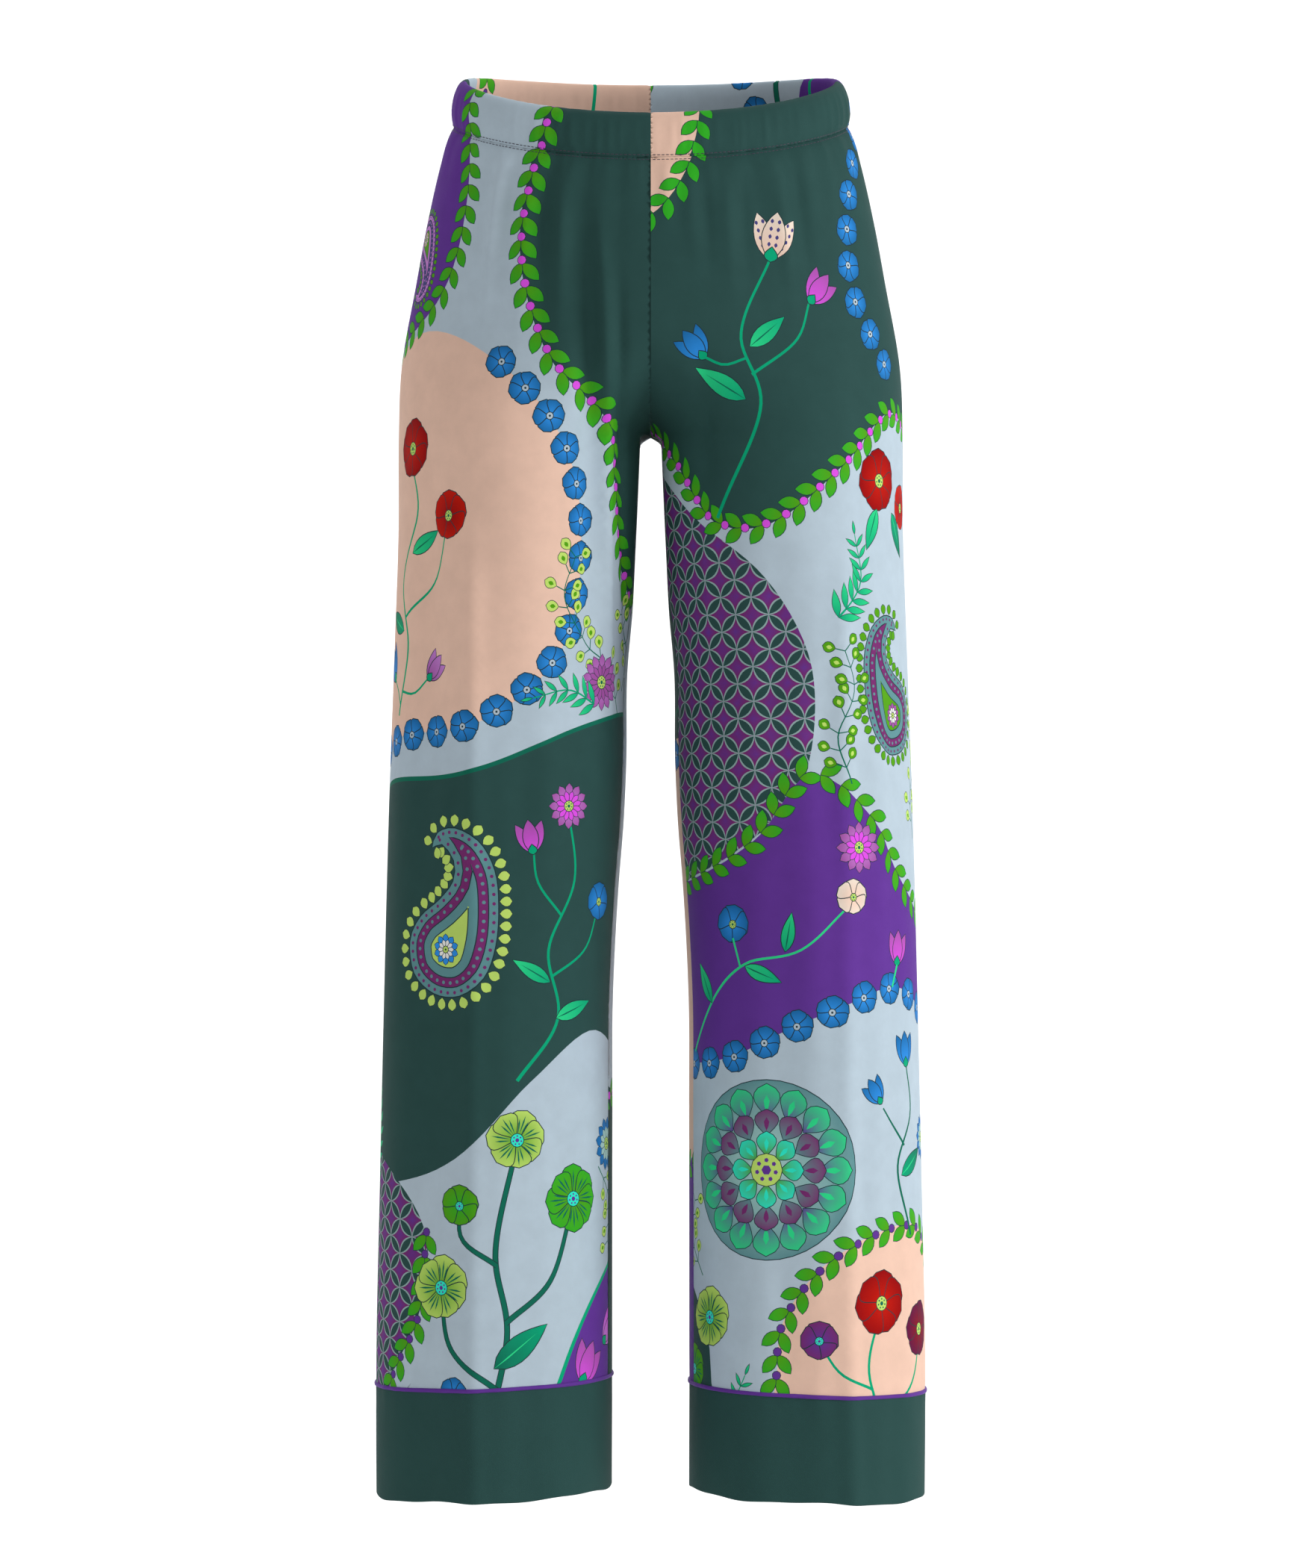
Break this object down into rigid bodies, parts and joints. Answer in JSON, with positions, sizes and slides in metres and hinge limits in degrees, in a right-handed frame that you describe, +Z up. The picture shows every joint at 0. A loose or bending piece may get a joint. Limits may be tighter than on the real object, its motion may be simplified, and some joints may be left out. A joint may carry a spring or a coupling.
{
  "type": "pyjama pants",
  "caption": "Full-length straight pyjama pants with an elasticated waist, soft gathers and piped plain cuffs, filled out as when worn, open at waist and hems.",
  "frame": {"origin": "middle of the waist, level with the top of the waistband at its sides, where the wearer holds the garment up", "axes": "+Z up through the waist, the front faces -Y, +X towards the wearer's left"},
  "size_m": [0.4088, 0.2684, 1.0548],
  "materials": {
    "print_cloth": "satin-weave printed cloth with a soft sheen",
    "cuff_cloth": "plain dark green satin-weave cloth",
    "piping": "violet satin piping"
  },
  "bodies": {
    "root": {"waistband": "print_cloth", "front_left": "print_cloth", "front_right": "print_cloth", "back_left": "print_cloth", "back_right": "print_cloth", "cuff_left": "cuff_cloth", "cuff_right": "cuff_cloth", "piping_left": "piping", "piping_right": "piping"}
  },
  "joints": []
}
